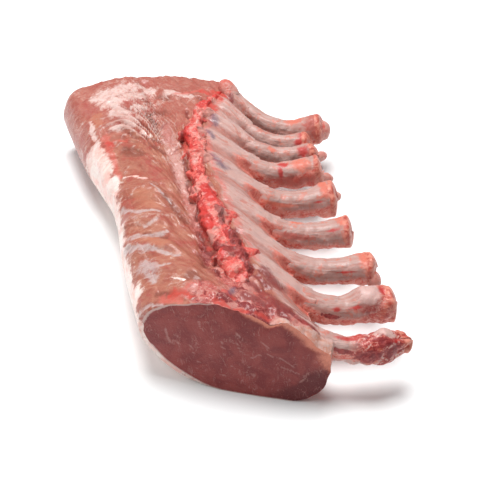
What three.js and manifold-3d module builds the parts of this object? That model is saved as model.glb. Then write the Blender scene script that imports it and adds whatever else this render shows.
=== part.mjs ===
// A raw frenched pork rack: nine rib bones held in one piece of loin, lying on its back fat with the
// hollow side of the ribs up. Millimetres. +X is the way the bared bones point, +Y runs from the
// caudal cut face to the blade end, +Z is up, and z = 0 is the flat that the fat rests on.
import * as THREE from "three";
import { mergeVertices } from "three/addons/utils/BufferGeometryUtils.js";
import Module from "manifold-3d";

const wasm = await Module();
wasm.setup();

// ---------------------------------------------------------------- driving dimensions
const GAP = 0.3; // clearance between touching pieces
const MIDDLE = { x: 6.6, y: 28.8 }; // middle of the box, moved to the origin

// The two knife cuts, as y over x: place, slant, bow, and how far each swells out at its foot.
const CAUDAL_CUT = { y: -108, slant: -0.47, bow: 0.0014, foot: -5 };
const BLADE_CUT = { y: 171, slant: -0.36, bow: -0.0036, foot: 0 };
const CUT_BELLY = 2; // how far each cut face swells in its middle
const MEAT_HEIGHT = 64;

// Rails along the meat, in order round its section, from under the ribs by the floor to the left
// side, over the top and down the flank below the ribs. Each has x and z at five even stations from
// the caudal cut to the blade end.
const RAILS = {
  floorRight: { x: [2, 10, 12, 16, 20], z: [0, 0, 0, 0, 0] },
  floorMid: { x: [-12, -14, -14, -14, -12], z: [0, 0, 0, 0, 0] },
  floorLeft: { x: [-38, -40, -38, -44, -46], z: [0, 0, 0, 0, 0] },
  lowFlank: { x: [-62, -63, -59, -67, -69], z: [8, 8, 7, 8, 7] },
  side: { x: [-77, -76, -71, -80, -83], z: [25, 25, 24, 23, 21] },
  band: { x: [-80, -77, -72, -77, -82], z: [41, 41, 39, 36, 34] },
  shoulder: { x: [-72, -71, -67, -68, -74], z: [54, 53, 51, 48, 46] },
  crown: { x: [-51, -52, -50, -50, -48], z: [63, 61, 59, 55, 51] },
  lip: { x: [-34, -35, -35, -28, -14], z: [64, 60, 58, 55, 51] },
  groove: { x: [-20, -26, -24, -12, 18], z: [61, 58, 57, 57, 51] },
  plateTop: { x: [-4, -5, -6, 5, 34], z: [56, 59, 60, 57, 49] },
  plateMid: { x: [10, 10, 9, 19, 38], z: [51, 49, 49, 47, 44] },
  plateEdge: { x: [23, 26, 26, 31, 42], z: [44, 39, 38, 38, 38] },
  flankTop: { x: [24, 26, 26, 31, 42], z: [26, 23, 22, 22, 22] },
  flankLow: { x: [17, 20, 21, 25, 33], z: [8, 8, 8, 8, 8] },
};

// The membrane over the ribs runs from rail to rail. Between two ribs it sinks, from root at the
// backbone to edge where the bones are bared, and its edge is cut back like the web between fingers.
const WEB = { from: "groove", to: "plateEdge", root: 1.5, edge: 10, rise: [4, 30], out: 3, back: 4 };

// One row for each rib, from the caudal cut to the blade end. y and top are those of the bared shaft's
// middle line and upper face; head is x, y and z where the rib leaves the backbone; bend is the x at
// which it turns from its slope into the shaft; tip is x and the y that its end swings by.
const RIBS = [
  { y: -113, top: 40, bend: 27, head: [-3, -86, 62], tip: [76, -2], half: [7.5, 8.5] },
  { y: -76, top: 39, bend: 29, head: [-11, -36, 66], tip: [79, -4], half: [8.5, 9] },
  { y: -39, top: 39, bend: 30, head: [-13, 0, 67], tip: [78, -7], half: [8.5, 8.5] },
  { y: -2, top: 39, bend: 30, head: [-13, 30, 67], tip: [75, -5], half: [8.5, 9] },
  { y: 32, top: 39, bend: 31, head: [-11, 62, 66], tip: [76, -3], half: [8, 9.5] },
  { y: 63, top: 40, bend: 33, head: [-6, 93, 64], tip: [75, -4], half: [7.5, 9] },
  { y: 82, top: 39, bend: 38, head: [8, 116, 60], tip: [77, -5], half: [6.2, 8.5] },
  { y: 97, top: 37, bend: 43, head: [18, 134, 57], tip: [77, -4], half: [6, 8] },
  { y: 114, top: 37, bend: 48, head: [31, 151, 54], tip: [96, -8], half: [6.5, 8] },
];
const RIB = {
  softness: 8, // length over which a rib turns into its shaft
  lift: 3, // how far its tip rises over its lowest stretch
  taper: [0.85, 0.85, 0.95, 1, 0.97, 1.08], // its thickness from the head to the tip
  squareness: 2.6,
};

// Scraps left on the bones: on which rib, how far along it, the turn round it in degrees from its
// upper face towards the caudal side, and the size and height of each.
const SCRAPS = [
  { rib: 0, at: 0.8, turn: 90, size: 12, height: 3.5 },
  { rib: 0, at: 0.86, turn: -30, size: 6, height: 2 },
  { rib: 0, at: 1.05, turn: 90, size: 13, height: -4.5 },
  { rib: 1, at: 0.82, turn: -30, size: 10, height: 4.5 },
  { rib: 2, at: 0.97, turn: 40, size: 8, height: 2 },
  { rib: 3, at: 0.99, turn: 60, size: 8, height: 3 },
  { rib: 4, at: 0.96, turn: -60, size: 7, height: 3 },
  { rib: 5, at: 0.85, turn: 30, size: 14, height: 2 },
  { rib: 8, at: 0.9, turn: 60, size: 12, height: 4 },
];

// The sawn backbone: its middle, crest and half width at five even stations, as for the rails.
const CHINE = {
  from: 0.09,
  to: 0.985,
  x: [-13, -14, -15, -4, 27],
  crest: [63, 68, 69, 66, 52],
  half: [11, 9, 8, 8, 7],
  depth: 18,
  waist: 0.25, // how much thinner it is between two ribs than at one
};

// Back fat, from under the ribs, round the left side and up to the shoulder.
const FAT = { from: 0.5, to: 6.3, thick: 3.5, feather: 0.8 };

// Swells and hollows of the meat's upper face: each runs in plan from one x, y to another, with the
// half width and height of its rounded ridge, or depth where that is negative.
const SWELLS = [
  { from: [-76, 172], to: [-80, 108], size: 12, height: 2.5 }, // lean edge at the blade end
  { from: [-50, 165], to: [-46, 112], size: 15, height: 2 }, // thick fat beside it
  { from: [-24, 168], to: [-28, 104], size: 6, height: -2.5 }, // seam towards the backbone
  { from: [-10, 165], to: [-12, 118], size: 8, height: 1.5 },
  { from: [-62, 58], to: [-46, 22], size: 9, height: 2 }, // muscle lobes along the eye
  { from: [-60, 8], to: [-44, -26], size: 9, height: 2 },
  { from: [-68, 22], to: [-50, -6], size: 5, height: -1.5 },
  { from: [-56, -40], to: [-44, -66], size: 8, height: 1.5 },
  { from: [-26, 92], to: [-30, -44], size: 6, height: -3 }, // gap along the backbone
  { from: [-38, -78], to: [-34, -80], size: 6, height: 2.5 }, // soft scraps at the caudal cut
  { from: [-20, -72], to: [-14, -88], size: 7, height: 2.5 },
  { from: [-4, -74], to: [8, -96], size: 6, height: -2.5 },
];

const CRAG = { meat: [1.1, 15], bone: [2.2, 9] }; // height and width of the unevenness

const MEAT_MESH = { stations: 30, around: 45 };
const FAT_MESH = { stations: 12, around: 14 };
const RIB_MESH = { stations: 16, around: 10 };
const CHINE_MESH = { stations: 36, around: 11 };

// ---------------------------------------------------------------- numbers and curves
const clamp = (v, lo, hi) => Math.min(hi, Math.max(lo, v));
const mix = (a, b, t) => a + (b - a) * t;
const smooth = (a, b, v) => {
  const t = clamp((v - a) / (b - a), 0, 1);
  return t * t * (3 - 2 * t);
};

// Catmull-Rom between b and c.
function cubic(a, b, c, d, t) {
  const linear = c - a;
  const square = 2 * a - 5 * b + 4 * c - d;
  const cube = 3 * b - a - 3 * c + d;
  return b + 0.5 * t * (linear + t * (square + t * cube));
}

// A smooth curve through evenly spaced values, at t from 0 to 1.
function along(values, t) {
  const last = values.length - 1;
  const s = clamp(t, 0, 1) * last;
  const i = Math.min(Math.floor(s), last - 1);
  const at = (k) => values[clamp(k, 0, last)];
  return cubic(at(i - 1), at(i), at(i + 1), at(i + 2), s - i);
}

// Smooth unevenness from -1 to 1, about one swell to each unit of its arguments.
function uneven(x, y, z) {
  const corner = (i, j, k) => {
    const h = Math.sin(i * 127.1 + j * 311.7 + k * 74.7) * 43758.5453;
    return 2 * (h - Math.floor(h)) - 1;
  };
  const [i, j, k] = [Math.floor(x), Math.floor(y), Math.floor(z)];
  const [a, b, c] = [smooth(0, 1, x - i), smooth(0, 1, y - j), smooth(0, 1, z - k)];
  const line = (jj, kk) => mix(corner(i, jj, kk), corner(i + 1, jj, kk), a);
  const sheet = (kk) => mix(line(j, kk), line(j + 1, kk), b);
  return mix(sheet(k), sheet(k + 1), c);
}

// ---------------------------------------------------------------- the ribs' lines
// 0 on the shaft, growing one for one with the way back up towards the head.
const climb = (rib, x) => RIB.softness * Math.log1p(Math.exp((rib.bend - x) / RIB.softness));
const outwards = (rib, x) => clamp((x - rib.bend) / (rib.tip[0] - rib.bend), 0, 1.2);

function ribY(rib, x) {
  const slope = (rib.head[1] - rib.y) / climb(rib, rib.head[0]);
  return rib.y + slope * climb(rib, x) + rib.tip[1] * outwards(rib, x) ** 2;
}

function ribTop(rib, x) {
  const slope = (rib.head[2] - rib.top) / climb(rib, rib.head[0]);
  return rib.top + slope * climb(rib, x) + RIB.lift * outwards(rib, x) ** 2;
}

// ---------------------------------------------------------------- the meat's skin
const railNames = Object.keys(RAILS);
const rails = Object.values(RAILS);

// The section at station t: u counts the rails, round and round.
function sectionPoint(u, t) {
  const n = rails.length;
  const i = Math.floor(u);
  const value = (axis) => {
    const at = (k) => along(rails[(((i + k) % n) + n) % n][axis], t);
    return cubic(at(-1), at(0), at(1), at(2), u - i);
  };
  return [value("x"), Math.max(0, value("z"))];
}

// y at station t, between the two slanting cuts.
function yAt(x, z, t) {
  const low = 1 - z / MEAT_HEIGHT;
  const caudal = CAUDAL_CUT.y + CAUDAL_CUT.slant * x + CAUDAL_CUT.bow * x * x + CAUDAL_CUT.foot * low;
  const blade = BLADE_CUT.y + BLADE_CUT.slant * x + BLADE_CUT.bow * x * x + BLADE_CUT.foot * low;
  return mix(caudal, blade, t);
}

// Height of the swells at a place in plan.
function swell(x, y) {
  let sum = 0;
  for (const { from, to, size, height } of SWELLS) {
    const [dx, dy] = [to[0] - from[0], to[1] - from[1]];
    const f = clamp(((x - from[0]) * dx + (y - from[1]) * dy) / (dx * dx + dy * dy), 0, 1);
    const away = Math.hypot(x - from[0] - f * dx, y - from[1] - f * dy);
    sum += height * Math.exp(-((away / size) ** 2));
  }
  return sum;
}

// Which rib lies at a place in plan, from 0 for the first, rising evenly from each rib to the next.
function ribRank(x, y) {
  let rank = 0;
  for (let k = 0; k + 1 < RIBS.length; k++) {
    const [low, high] = [ribY(RIBS[k], x), ribY(RIBS[k + 1], x)];
    rank += clamp((y - low) / Math.max(high - low, 4), 0, 1);
  }
  return rank;
}

// 0 on a rib and 1 between two, with a gentle way down and a steep way up to the next rib.
function betweenRibs(x, y) {
  const part = ribRank(x, y) % 1;
  return smooth(0.14, 0.66, part) * (1 - smooth(0.7, 0.84, part));
}

// Height of the membrane: the ribs' upper faces joined, less the valley between them.
function plateHeight(x, y) {
  const rank = ribRank(x, y);
  const low = Math.min(Math.floor(rank), RIBS.length - 2);
  const top = mix(ribTop(RIBS[low], x), ribTop(RIBS[low + 1], x), rank - low);
  return top - mix(WEB.root, WEB.edge, smooth(...WEB.rise, x)) * betweenRibs(x, y);
}

// A point of the meat's skin, moved outwards by grow.
function meatPoint(u, t, grow = 0) {
  const [x0, z0] = sectionPoint(u, t);
  const [xa, za] = sectionPoint(u - 0.05, t);
  const [xb, zb] = sectionPoint(u + 0.05, t);
  const length = Math.hypot(xb - xa, zb - za);
  const out = [-(zb - za) / length, (xb - xa) / length];
  const y = yAt(x0, z0, t);
  const first = railNames.indexOf(WEB.from);
  const last = railNames.indexOf(WEB.to);
  const web = smooth(last - 1, last, u) * (1 - smooth(last + 1, last + 2, u));
  const cut = web * mix(WEB.out, -WEB.back, betweenRibs(x0, y));
  const plate = smooth(first + 0.7, first + 1.4, u) * (1 - smooth(last, last + 0.6, u));
  const z = mix(z0, plateHeight(x0, y), plate);
  const [height, width] = CRAG.meat;
  const above = smooth(4, 5, u) * (1 - smooth(10, 11, u));
  const move = grow + above * (height * uneven(x0 / width, y / width, 0) + swell(x0, y));
  const floor = grow > 0 ? -grow : 0;
  return [x0 + cut + out[0] * move, y, Math.max(floor, z + out[1] * move)];
}

// ---------------------------------------------------------------- mesh makers
// Rings of points joined into one closed body, with a fan over the first and the last ring.
function loft(rings) {
  const n = rings[0].length;
  const points = rings.flat();
  const faces = [];
  for (let j = 0; j + 1 < rings.length; j++) {
    for (let i = 0; i < n; i++) {
      const [a, b] = [j * n + i, j * n + ((i + 1) % n)];
      faces.push(a, b, b + n, a, b + n, a + n);
    }
  }
  for (const j of [0, rings.length - 1]) {
    const centre = points.length;
    points.push([0, 1, 2].map((axis) => rings[j].reduce((sum, p) => sum + p[axis], 0) / n));
    for (let i = 0; i < n; i++) {
      const [a, b] = [j * n + i, j * n + ((i + 1) % n)];
      faces.push(...(j ? [centre, a, b] : [centre, b, a]));
    }
  }
  const geometry = new THREE.BufferGeometry();
  geometry.setAttribute("position", new THREE.Float32BufferAttribute(points.flat(), 3));
  geometry.setIndex(faces);
  return geometry;
}

// A closed geometry as a solid.
function solid(geometry) {
  const merged = mergeVertices(geometry, 1e-4);
  const mesh = { numProp: 3, vertProperties: merged.attributes.position.array };
  return new wasm.Manifold(new wasm.Mesh({ ...mesh, triVerts: new Uint32Array(merged.index.array) }));
}

// The largest body of a solid, as a geometry.
function geometryOf(made) {
  const body = made.decompose().sort((a, b) => b.volume() - a.volume())[0];
  const mesh = body.getMesh();
  const geometry = new THREE.BufferGeometry();
  geometry.setAttribute("position", new THREE.BufferAttribute(mesh.vertProperties.slice(), 3));
  geometry.setIndex(new THREE.BufferAttribute(mesh.triVerts.slice(), 1));
  geometry.computeVertexNormals();
  return geometry;
}

// ---------------------------------------------------------------- meat and fat
// The section's ring at station t, shrunk to scale about its middle; a shrunk ring lies on the cut.
function meatRing(t, scale = 1) {
  const ring = [];
  for (let i = 0; i < MEAT_MESH.around; i++) ring.push(meatPoint((i * rails.length) / MEAT_MESH.around, t));
  if (scale === 1) return ring;
  const [cx, cz] = [0, 2].map((axis) => ring.reduce((sum, p) => sum + p[axis], 0) / ring.length);
  const belly = Math.sign(t - 0.5) * CUT_BELLY * (1 - scale ** 2);
  return ring.map(([x, , z]) => {
    const [sx, sz] = [mix(cx, x, scale), mix(cz, z, scale)];
    return [sx, yAt(sx, sz, t) + belly, sz];
  });
}

function meatSolid() {
  const rings = [];
  for (let j = 0; j <= MEAT_MESH.stations; j++) rings.push(meatRing(j / MEAT_MESH.stations));
  const face = (t) => [0.88, 0.62, 0.3].map((scale) => meatRing(t, scale));
  return solid(loft([...face(0).reverse(), ...rings, ...face(1)]));
}

// The room of the fat: from well outside the skin to a line inside it, which clear moves inwards.
function fatRoom(clear) {
  const { stations, around } = FAT_MESH;
  const rings = [];
  for (let j = 0; j <= stations; j++) {
    const t = mix(-0.02, 1.02, j / stations);
    const rail = (i) => mix(FAT.from - clear / 10, FAT.to + clear / 10, i / around);
    const ring = [];
    for (let i = 0; i <= around; i++) ring.push(meatPoint(rail(i), t, 6));
    for (let i = around; i >= 0; i--) {
      const thick = (FAT.thick + FAT.feather) * Math.sin((Math.PI * i) / around) ** 0.5;
      ring.push(meatPoint(rail(i), t, FAT.feather - thick - clear));
    }
    rings.push(ring);
  }
  return solid(loft(rings));
}

// ---------------------------------------------------------------- bones
// A rib from its head to its tip, grown by grow: rounded square sections square to its middle line.
function ribSolid(rib, grow) {
  const { stations, around } = RIB_MESH;
  const scraps = SCRAPS.filter((scrap) => RIBS[scrap.rib] === rib);
  const length = rib.tip[0] - rib.head[0];
  const middle = (x) => new THREE.Vector3(x, ribY(rib, x), ribTop(rib, x) - rib.half[1]);
  const rings = [];
  for (let j = 0; j <= stations; j++) {
    const f = j / stations;
    const x = mix(rib.head[0], rib.tip[0], f);
    const tangent = middle(x + 0.5).sub(middle(x - 0.5)).normalize();
    const side = new THREE.Vector3(0, 0, 1).cross(tangent).normalize();
    const up = tangent.clone().cross(side);
    const rounded = Math.min(1, 0.72 + 7 * Math.min(f, 1 - f));
    const size = along(RIB.taper, f) * rounded;
    const end = j === 0 ? -grow : j === stations ? grow : 0;
    const ring = [];
    for (let i = 0; i < around; i++) {
      const a = (2 * Math.PI * (i + 0.5)) / around;
      const squared = (v) => Math.sign(v) * Math.abs(v) ** (2 / RIB.squareness);
      let out = 0;
      for (const scrap of scraps) {
        const turned = Math.abs(((((a * 180) / Math.PI - 90 - scrap.turn) % 360) + 540) % 360 - 180);
        const away = Math.hypot((f - scrap.at) * length, (turned / 57.3) * rib.half[0]);
        out += scrap.height * Math.exp(-((away / scrap.size) ** 2));
      }
      const across = squared(Math.cos(a)) * rib.half[0] * size + Math.cos(a) * (grow + out);
      const over = squared(Math.sin(a)) * rib.half[1] * size + Math.sin(a) * (grow + out);
      const p = middle(x).addScaledVector(side, across).addScaledVector(up, over);
      ring.push(p.addScaledVector(tangent, end).toArray());
    }
    rings.push(ring);
  }
  return solid(loft(rings));
}

// The backbone, a craggy strip with a knob at every rib head.
function chineSolid(grow) {
  const { stations, around } = CHINE_MESH;
  const [height, width] = CRAG.bone;
  const rings = [];
  for (let j = 0; j <= stations; j++) {
    const t = mix(CHINE.from, CHINE.to, j / stations);
    const x0 = along(CHINE.x, t);
    const y0 = yAt(x0, MEAT_HEIGHT, t);
    let knob = 0;
    for (const rib of RIBS) knob = Math.max(knob, Math.exp(-(((y0 - rib.head[1]) / 8) ** 2)));
    const swell = 1 - CHINE.waist * (1 - knob);
    const end = j === 0 ? -grow : j === stations ? grow : 0;
    const ring = [];
    for (let i = 0; i < around; i++) {
      const a = (-2 * Math.PI * i) / around;
      const crag = height * uneven((x0 + 20 * Math.cos(a)) / width, y0 / width, Math.sin(a)) + grow;
      const x = x0 + Math.cos(a) * (along(CHINE.half, t) * swell + crag);
      const z = along(CHINE.crest, t) - CHINE.depth / 2 + Math.sin(a) * ((CHINE.depth / 2) * swell + crag);
      ring.push([x, y0 + end, z]);
    }
    rings.push(ring);
  }
  return solid(loft(rings));
}

// ---------------------------------------------------------------- the rack
const finish = (color, roughness) => new THREE.MeshStandardMaterial({ color, roughness, metalness: 0 });
const LEAN = finish(0xb5665c, 0.45);
const FATTY = finish(0xe2c4b8, 0.5);
const BONE = finish(0xd9b3a8, 0.5);
const MARROW = finish(0xc9504c, 0.6);

const rack = new THREE.Group();
rack.position.set(-MIDDLE.x, -MIDDLE.y, 0);

function addPiece(name, made, look) {
  const mesh = new THREE.Mesh(geometryOf(made), look);
  mesh.name = name;
  rack.add(mesh);
}

const meat = meatSolid();
const ribSockets = wasm.Manifold.union(RIBS.map((rib) => ribSolid(rib, GAP)));
const bed = meat.subtract(fatRoom(GAP)).subtract(chineSolid(GAP)).subtract(ribSockets);

addPiece("loin", bed, LEAN);
addPiece("fat_cap", meat.intersect(fatRoom(0)), FATTY);
addPiece("chine", chineSolid(0).subtract(ribSockets), MARROW);
RIBS.forEach((rib, i) => addPiece(`rib_${i + 1}`, ribSolid(rib, 0), BONE));

export default rack;
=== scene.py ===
"""A raw frenched pork rack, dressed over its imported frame: lean meat, back fat, backbone and nine ribs."""

import bpy
import numpy as np
from mathutils import Matrix


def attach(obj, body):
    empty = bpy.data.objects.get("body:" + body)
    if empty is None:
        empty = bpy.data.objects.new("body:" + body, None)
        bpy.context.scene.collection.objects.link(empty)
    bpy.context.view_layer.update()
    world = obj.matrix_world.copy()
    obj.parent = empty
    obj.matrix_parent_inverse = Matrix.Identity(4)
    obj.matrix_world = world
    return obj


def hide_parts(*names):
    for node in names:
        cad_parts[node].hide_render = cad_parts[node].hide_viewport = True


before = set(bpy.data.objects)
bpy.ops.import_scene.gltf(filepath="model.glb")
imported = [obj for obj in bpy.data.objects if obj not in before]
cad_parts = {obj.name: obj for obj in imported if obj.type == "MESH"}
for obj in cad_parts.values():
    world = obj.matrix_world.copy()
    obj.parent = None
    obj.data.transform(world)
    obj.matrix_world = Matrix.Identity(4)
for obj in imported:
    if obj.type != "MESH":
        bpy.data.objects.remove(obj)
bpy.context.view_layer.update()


# -------- the lean meat
# One piece of loin, cut square by a knife at both ends. A thin membrane lines the hollow side of the
# ribs and runs over them; where the bones are bared it is cut back between them like a web. Beside the
# backbone lie the muscles of the back, with streaks of fat and sinew along their fibres.
MM = 0.001
MIDDLE = np.array([6.6, 28.8, 0.0])

CAUDAL_CUT = {"y": -107.4, "slant": -0.47, "bow": 0.0014, "foot": -5}
BLADE_CUT = {"y": 170.6, "slant": -0.36, "bow": -0.0036, "foot": 0}
MEAT_HEIGHT = 64
CUT_BELLY = 2

# The outline of the meat goes round through these rails, each from the caudal cut to the blade cut.
# Counted from 0: the floor's right edge, middle and left edge, low flank, side, band, shoulder, crown,
# lip, groove, plate top, plate middle, plate edge, flank top and low flank on the right.
RAILS = np.array([
    [[2, 10, 12, 16, 20], [0, 0, 0, 0, 0]],
    [[-12, -14, -14, -14, -12], [0, 0, 0, 0, 0]],
    [[-38, -40, -38, -44, -46], [0, 0, 0, 0, 0]],
    [[-62, -63, -59, -67, -69], [8, 8, 7, 8, 7]],
    [[-77, -76, -71, -80, -83], [25, 25, 24, 23, 21]],
    [[-80, -77, -72, -77, -82], [41, 41, 39, 36, 34]],
    [[-72, -71, -67, -68, -74], [54, 53, 51, 48, 46]],
    [[-51, -52, -50, -50, -48], [63, 61, 59, 55, 51]],
    [[-34, -35, -35, -28, -14], [64, 60, 58, 55, 51]],
    [[-20, -26, -24, -12, 18], [61, 58, 57, 57, 51]],
    [[-4, -5, -6, 5, 34], [56, 59, 60, 57, 49]],
    [[10, 10, 9, 19, 38], [51, 49, 49, 47, 44]],
    [[23, 26, 26, 31, 42], [44, 39, 38, 38, 38]],
    [[24, 26, 26, 31, 42], [26, 23, 22, 22, 22]],
    [[17, 20, 21, 25, 33], [8, 8, 8, 8, 8]],
], float).transpose(2, 0, 1)

# y and top of each bared shaft, the x at which it bends, its head, how far its tip swings, half sizes.
RIBS = [dict(zip(("y", "top", "bend", "head", "tip", "half"), row)) for row in (
    (-113, 40, 27, (-3, -86, 62), (76, -2), (6.6, 8.5)),
    (-76, 39, 29, (-11, -36, 66), (79, -4), (8.5, 9)),
    (-39, 39, 30, (-13, 0, 67), (78, -7), (8.5, 8.5)),
    (-2, 39, 30, (-13, 30, 67), (75, -5), (8.5, 9)),
    (32, 39, 31, (-11, 62, 66), (76, -3), (8, 9.5)),
    (63, 40, 33, (-6, 93, 64), (75, -4), (7.5, 9)),
    (82, 39, 38, (8, 116, 60), (77, -5), (6.2, 8.5)),
    (97, 37, 43, (18, 134, 57), (77, -4), (6, 8)),
    (114, 37, 48, (31, 151, 54), (91, -7), (6.5, 8)),
)]
RIB_SOFTNESS = 8  # mm over which a shaft turns up towards its head
RIB_LIFT = 3  # mm that a shaft rises again to its tip
GAP_BEFORE, GAP_AFTER = 35, 20  # spacing taken before the first rib and after the last

# Swells and hollows of the upper face: from x, y to x, y, half width, height.
SWELLS = [
    (-76, 172, -80, 108, 12, 2.5), (-50, 165, -46, 112, 15, 2.0), (-24, 168, -28, 104, 6, -2.5),
    (-10, 165, -12, 118, 8, 1.5), (-62, 46, -48, 26, 8, 2.8), (-66, 16, -48, 2, 6, 2.2),
    (-66, -12, -50, -22, 5, 2.2), (-62, -34, -46, -50, 7, 2.4), (-52, 62, -40, 34, 3, -1.2),
    (-46, 8, -38, -30, 3, -1.2), (-72, 66, -70, 100, 6, 1.5), (-44, -60, -36, -72, 7, 1.5),
    (-26, 92, -30, -44, 6, -3.0), (-38, -78, -34, -80, 6, 2.5), (-20, -72, -14, -88, 7, 2.5),
    (-4, -74, 8, -96, 6, -2.5),
]


def mix(a, b, t):
    """a where t is 0, b where it is 1, and on a straight line between them."""
    return a + (b - a) * t


def ease(lo, hi, v):
    """0 below lo, 1 above hi, and a smooth S between."""
    t = np.clip((v - lo) / (hi - lo), 0, 1)
    return t * t * (3 - 2 * t)


def window(a, b, c, d, v):
    """0 outside a to d, 1 from b to c, and a smooth S on both slopes."""
    return ease(a, b, v) * (1 - ease(c, d, v))


def cubic(a, b, c, d, t):
    """Catmull-Rom curve between b and c."""
    return b + 0.5 * t * (c - a + t * (2 * a - 5 * b + 4 * c - d + t * (3 * b - a - 3 * c + d)))


def along(values, t, *which):
    """A smooth curve through evenly spaced values at t from 0 to 1; which picks among later axes."""
    last = len(values) - 1
    s = np.clip(t, 0, 1) * last
    i = np.minimum(s.astype(int), last - 1)
    return cubic(*(values[(np.clip(i + k, 0, last), *which)] for k in (-1, 0, 1, 2)), s - i)


def fraction(v):
    """v less the whole number below it."""
    return v - np.floor(v)


def hashed(i, j, k):
    """A large number that jumps about from one whole-numbered corner to the next."""
    return np.sin(i * 127.1 + j * 311.7 + k * 74.7) * 43758.5453


def uneven(x, y, z=0.0):
    """Value noise from -1 to 1: hashed corners of a unit grid with an S-shaped blend between them."""
    x, y, z = np.broadcast_arrays(np.asarray(x, float), y, z)
    i, j, k = np.floor(x), np.floor(y), np.floor(z)
    a, b, c = ease(0, 1, x - i), ease(0, 1, y - j), ease(0, 1, z - k)

    def corner(di, dj, dk):
        return 2 * fraction(hashed(i + di, j + dj, k + dk)) - 1

    def sheet(dk):
        front, back = (mix(corner(0, dj, dk), corner(1, dj, dk), a) for dj in (0, 1))
        return mix(front, back, b)

    return mix(sheet(0), sheet(1), c)


def layered(x, y, z=0.0, layers=3):
    """Noise with finer and fainter copies of itself added, each half as large and turned a little."""
    total, size = 0.0, 1.0
    for n in range(layers):
        total = total + size * uneven(x + 17.3 * n, y - 9.1 * n, z + 5.7 * n)
        x, y, z = 1.73 * x + y, 1.73 * y - x, 2 * z
        size *= 0.5
    return total / (2 - 2 * size)


def lumps(x, y, z=0.0):
    """Rounded lumps with creases between: one hashed point in each unit cell. Returns 1 less the squared
    distance to the nearest point, and that point's own number from 0 to 1."""
    x, y, z = np.broadcast_arrays(np.asarray(x, float), y, z)
    i, j, k = np.floor(x), np.floor(y), np.floor(z)
    nearest, number = np.ones_like(x), np.zeros_like(x)
    for di, dj, dk in np.ndindex(3, 3, 3):
        a, b, c = i + di - 1, j + dj - 1, k + dk - 1
        h = hashed(a, b, c)
        px, py, pz = (fraction(h * m) for m in (1, 7.31, 13.7))
        apart = (x - a - px) ** 2 + (y - b - py) ** 2 + (z - c - pz) ** 2
        number = np.where(apart < nearest, fraction(h * 3.7), number)
        nearest = np.minimum(nearest, apart)
    return 1 - nearest, number


def climb(rib, x):
    """0 on the shaft, growing one for one with the way back up towards the head."""
    return RIB_SOFTNESS * np.log1p(np.exp((rib["bend"] - x) / RIB_SOFTNESS))


def rib_line(rib, x):
    """y and z of the middle of a rib's upper face over x: a straight shaft that bends up to its head."""
    hx, hy, hz = rib["head"]
    rise = climb(rib, x) / climb(rib, hx)
    out = np.clip((x - rib["bend"]) / (rib["tip"][0] - rib["bend"]), 0, 1.2) ** 2
    return (
        rib["y"] + (hy - rib["y"]) * rise + rib["tip"][1] * out,
        rib["top"] + (hz - rib["top"]) * rise + RIB_LIFT * out,
    )


def rib_rank(x, y):
    """Which rib lies at x, y, counted from 0 and going evenly from each rib's line to the next one's."""
    lines = [rib_line(rib, x)[0] for rib in RIBS]
    rank = np.minimum((y - lines[0]) / GAP_BEFORE, 0) + np.maximum((y - lines[-1]) / GAP_AFTER, 0)
    for low, high in zip(lines, lines[1:]):
        rank = rank + np.clip((y - low) / np.maximum(high - low, 4), 0, 1)
    return rank


def pick(values, index):
    """The entry of the last axis that each index names."""
    return np.take_along_axis(values, index[..., None], -1)[..., 0]


def rib_sides(x, y):
    """For each place between two ribs: how far it is square from the middle of the rib behind it and of the
    rib before it, the half widths of both, and the x at which they bend."""
    low = np.clip(rib_rank(x, y).astype(int), 0, 7)
    apart = []
    for rib in RIBS:
        slope = rib_line(rib, x + 0.5)[0] - rib_line(rib, x - 0.5)[0]
        apart.append((y - rib_line(rib, x)[0]) / np.hypot(1, slope))
    apart = np.stack(apart, -1)
    half, bend = np.array([(rib["half"][0], rib["bend"]) for rib in RIBS]).T
    bend = mix(bend[low], bend[low + 1], 0.6)
    return pick(apart, low), -pick(apart, low + 1), half[low], half[low + 1], bend


def between_ribs(x, y):
    """0 on a rib, 1 at the foot of the next rib's caudal side: a gentle way down and a steep way up."""
    rank = rib_rank(x, y)
    near, far, half_near, half_far, bend = rib_sides(x, y)
    far = far + 3 * ease(bend - 16, bend - 6, x)
    inside = ease(half_near - 3, half_near + 7, near) * ease(half_far - 1.2, half_far + 2.4, far)
    inside = np.where(rank > 8, ease(0.3, 0.9, rank - 8), inside)
    return np.where(rank < 0, 0.6 * ease(0.14, 0.4, -rank), inside)


def side_wall(x, y):
    """1 on the steep way up to a rib's caudal side, from a point far up the rib to full at its bend."""
    rank = rib_rank(x, y)
    _, far, _, half, bend = rib_sides(x, y)
    steep = window(half - 5, half - 2.5, half + 2, half + 5, far) * (1 - 0.65 * ease(4.6, 6, rank))
    return steep * ease(bend - 24, bend - 12, x) * (rank > 0) * (rank < 8)


def plate_height(x, y):
    """z of the membrane: the ribs' upper faces joined, less a valley between them that deepens outwards.
    On the ribs it sinks into the bone where the bared shaft begins."""
    rank = np.clip(rib_rank(x, y), 0, 8)
    tops = np.stack([rib_line(rib, x)[1] for rib in RIBS], -1)
    low = np.minimum(rank.astype(int), 7)
    top = mix(pick(tops, low), pick(tops, low + 1), rank - low)
    *_, bend = rib_sides(x, y)
    depth = 2.6 + 7.4 * ease(bend - 24, bend - 4, x)
    proud = 0.5 - 1.3 * ease(bend - 13, bend - 5, x + 3 * uneven(x / 5, y / 5, 3))
    return top + proud - depth * between_ribs(x, y)


def bell(x, y, middle, reach):
    """1 at the middle, falling off with the square of the way from it over a reach each way."""
    return np.exp(-(((x - middle[0]) / reach[0]) ** 2) - ((y - middle[1]) / reach[1]) ** 2)


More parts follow.
